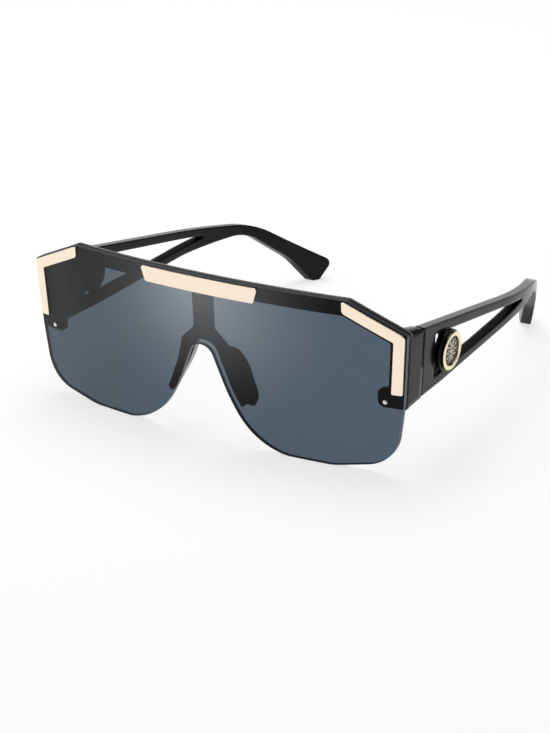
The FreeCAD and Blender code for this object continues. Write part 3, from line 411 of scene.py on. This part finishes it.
def dress(node, edge, segments):
    """A copy of a CAD piece, merged, with its sharp edges rounded, that stands for the piece."""
    bpy.ops.object.select_all(action="DESELECT")
    piece = nodes[node].copy()
    piece.data = nodes[node].data.copy()
    piece.name = node + "_dressed"
    piece.parent = None
    bpy.context.scene.collection.objects.link(piece)
    for key in list(piece.keys()):
        if key.startswith("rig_"):
            del piece[key]
    bpy.context.view_layer.objects.active = piece
    piece.select_set(True)
    bpy.ops.object.mode_set(mode="EDIT")
    bpy.ops.mesh.select_all(action="SELECT")
    bpy.ops.mesh.remove_doubles(threshold=MERGE_DISTANCE)
    bpy.ops.mesh.dissolve_limited(angle_limit=math.radians(FLAT_DEGREES))
    bpy.ops.object.mode_set(mode="OBJECT")
    if node == "shield_lens":
        round_lens(piece)
    if edge:
        rounding = piece.modifiers.new("edge", "BEVEL")
        rounding.width = edge * MM
        rounding.segments = segments
        rounding.limit_method = "ANGLE"
        rounding.angle_limit = math.radians(SHARP_DEGREES)
        rounding.use_clamp_overlap = True
        bpy.ops.object.modifier_apply(modifier="edge")
    bpy.ops.object.shade_smooth_by_angle(angle=math.radians(SMOOTH_DEGREES))
    evening = piece.modifiers.new("even shading", "WEIGHTED_NORMAL")
    evening.keep_sharp = True
    bpy.ops.object.modifier_apply(modifier="even shading")
    piece.data.materials.clear()
    piece.data.materials.append(FINISHES[kind_of(node)])
    if kind_of(node) in SECOND_FINISHES:
        SECOND_FINISHES[kind_of(node)](piece)
    stand_for(piece, node)


def dome(length, width, height, pinch):
    """Half an egg lying along X, with its inner end pinched. A bead is so low that the cut's own
    tolerance takes in its lowest rings, so its underside, which is out of sight, comes out ragged."""
    bpy.ops.object.select_all(action="DESELECT")
    bpy.ops.mesh.primitive_uv_sphere_add(segments=DOME_SEGMENTS, ring_count=DOME_RINGS, radius=width / 2)
    piece = bpy.context.object
    bpy.ops.object.mode_set(mode="EDIT")
    bpy.ops.mesh.select_all(action="SELECT")
    bpy.ops.transform.resize(value=(length / width, 1, 2 * height / width))
    bpy.ops.mesh.bisect(plane_co=(0, 0, 0), plane_no=(0, 0, 1), use_fill=True, clear_inner=True)
    bpy.ops.object.mode_set(mode="OBJECT")
    for vertex in piece.data.vertices:
        vertex.co.y *= 1 - pinch * max(0.5 - vertex.co.x / length, 0)
    return piece


def ring_of(piece, count, radius, turn):
    """Copies of a piece set round in a ring."""
    copies = []
    for number in range(count):
        copy = piece.copy()
        copy.data = piece.data.copy()
        angle = (number + turn) * 2 * math.pi / count
        copy.data.transform(Matrix.Rotation(angle, 4, "Z") @ Matrix.Translation((radius, 0, 0)))
        bpy.context.scene.collection.objects.link(copy)
        copies.append(copy)
    bpy.data.objects.remove(piece)
    return copies


def make_rosette(node):
    """Flower in low relief: a boss, two rings of petals, and a border of beads."""
    outer_length = OUTER_LENGTH_SHARE * ROSETTE_RADIUS
    inner_length = INNER_LENGTH_SHARE * ROSETTE_RADIUS
    outer_height = OUTER_HEIGHT_SHARE * ROSETTE_HEIGHT
    inner_height = INNER_HEIGHT_SHARE * ROSETTE_HEIGHT
    border = ROSETTE_RADIUS - BEAD_RADIUS
    petal_tip = border - BEAD_RADIUS
    pieces = [dome(BOSS_WIDTH, BOSS_WIDTH, ROSETTE_HEIGHT, 0)]
    pieces += ring_of(dome(outer_length, OUTER_PETAL_WIDTH, outer_height, OUTER_PINCH), PETAL_COUNT,
                      petal_tip - outer_length / 2, 0)
    pieces += ring_of(dome(inner_length, INNER_PETAL_WIDTH, inner_height, INNER_PINCH), PETAL_COUNT,
                      petal_tip - outer_length, INNER_TURN)
    pieces += ring_of(dome(2 * BEAD_RADIUS, 2 * BEAD_RADIUS, BEAD_RADIUS, 0), BEAD_COUNT, border, 0)
    bpy.ops.object.select_all(action="DESELECT")
    for piece in pieces:
        piece.select_set(True)
    rosette = pieces[0]
    bpy.context.view_layer.objects.active = rosette
    bpy.ops.object.join()
    rosette.name = node + "_rosette"
    bpy.ops.object.shade_smooth_by_angle(angle=math.radians(PETAL_SMOOTH_DEGREES))
    middle, facing = medallion_axis(node)
    seat = middle - facing * ROSETTE_HEIGHT / 2
    rosette.data.transform(Matrix.Translation(seat) @ facing.to_track_quat("Z", "Y").to_matrix().to_4x4())
    rosette.data.materials.append(FINISHES[kind_of(node)])
    stand_for(rosette, node)


for node in sorted(nodes):
    if kind_of(node) == "medallion_relief":
        make_rosette(node)
    else:
        dress(node, *DRESSED[kind_of(node)])


def make_table():
    """White sweep: bright to the eye and in reflections, with the object's shadow kept."""
    bpy.ops.mesh.primitive_plane_add(size=TABLE_SIZE, location=(0, 0, -TABLE_DROP))
    table = bpy.context.object
    table.name = "table"
    material = new_material("white paper sweep")
    shade = add_node(material, "ShaderNodeBsdfDiffuse", {"Color": linear("#f6f6f7")})
    white = add_node(material, "ShaderNodeEmission")
    path = add_node(material, "ShaderNodeLightPath")
    seen = add_node(material, "ShaderNodeMath", {"operation": "MAXIMUM"},
                    {0: (path, "Is Camera Ray"), 1: (path, "Is Glossy Ray")})
    seen_through = add_node(material, "ShaderNodeMath", {"operation": "MAXIMUM"},
                            {0: (seen, "Value"), 1: (path, "Is Transmission Ray")})
    share = add_node(material, "ShaderNodeMapRange", {"To Max": PAPER_GLOW_SHARE},
                     {"Value": (seen_through, "Value")})
    paper = add_node(material, "ShaderNodeMixShader",
                     links={"Fac": (share, "Result"), 1: (shade, "BSDF"), 2: (white, "Emission")})
    add_node(material, "ShaderNodeOutputMaterial", links={"Surface": (paper, "Shader")})
    table.data.materials.append(material)


def make_light():
    """Studio with a white sweep up to the horizon, dim walls that draw dark lines into the gloss, and
    a bright ceiling."""
    world = bpy.data.worlds.new("studio")
    bpy.context.scene.world = world
    world.use_nodes = True
    world.node_tree.nodes.clear()
    way = add_node(world, "ShaderNodeTexCoord")
    split = add_node(world, "ShaderNodeSeparateXYZ", links={"Vector": (way, "Generated")})
    wall = add_node(world, "ShaderNodeValToRGB", links={"Fac": (split, "Z")})
    shades = wall.color_ramp.elements
    for height, level in WALL_SHADES:
        shades.new(height).color = grey(level)
    shades[0].color = grey(SWEEP_SHADE)
    shades[-1].color = grey(CEILING_SHADE)
    background = add_node(world, "ShaderNodeBackground", links={"Color": (wall, "Color")})
    add_node(world, "ShaderNodeOutputWorld", links={"Surface": (background, "Background")})
    for name, (place, size, power) in SOFTBOXES.items():
        bpy.ops.object.light_add(type="AREA", location=place)
        lamp = bpy.context.object
        lamp.name = name
        lamp.data.size = size
        lamp.data.energy = power
        lamp.visible_camera = False
        lamp.rotation_euler = (-Vector(place)).to_track_quat("-Z", "Y").to_euler()


def make_camera():
    """The photograph's view, fitted on the corners of the plates, the rivets and the temple tips."""
    azimuth, elevation, roll = (math.radians(angle) for angle in CAMERA_DEGREES)
    back = Vector((math.sin(azimuth) * math.cos(elevation), -math.cos(azimuth) * math.cos(elevation),
                   math.sin(elevation)))
    right = Vector((0, 0, 1)).cross(back).normalized()
    up = back.cross(right)
    across = right * math.cos(roll) + up * math.sin(roll)
    upwards = up * math.cos(roll) - right * math.sin(roll)
    bpy.ops.object.camera_add()
    camera = bpy.context.object
    camera.data.sensor_width = SENSOR_WIDTH
    camera.data.lens = FOCAL_PIXELS * SENSOR_WIDTH / PICTURE_PIXELS
    camera.data.clip_start = CAMERA_CLIP
    camera.matrix_world = (Matrix.Translation(CAMERA_TARGET + back * CAMERA_DISTANCE)
                           @ Matrix((across, upwards, back)).transposed().to_4x4())
    bpy.context.scene.camera = camera


make_table()
make_light()
make_camera()
bpy.context.scene.view_settings.view_transform = "Standard"
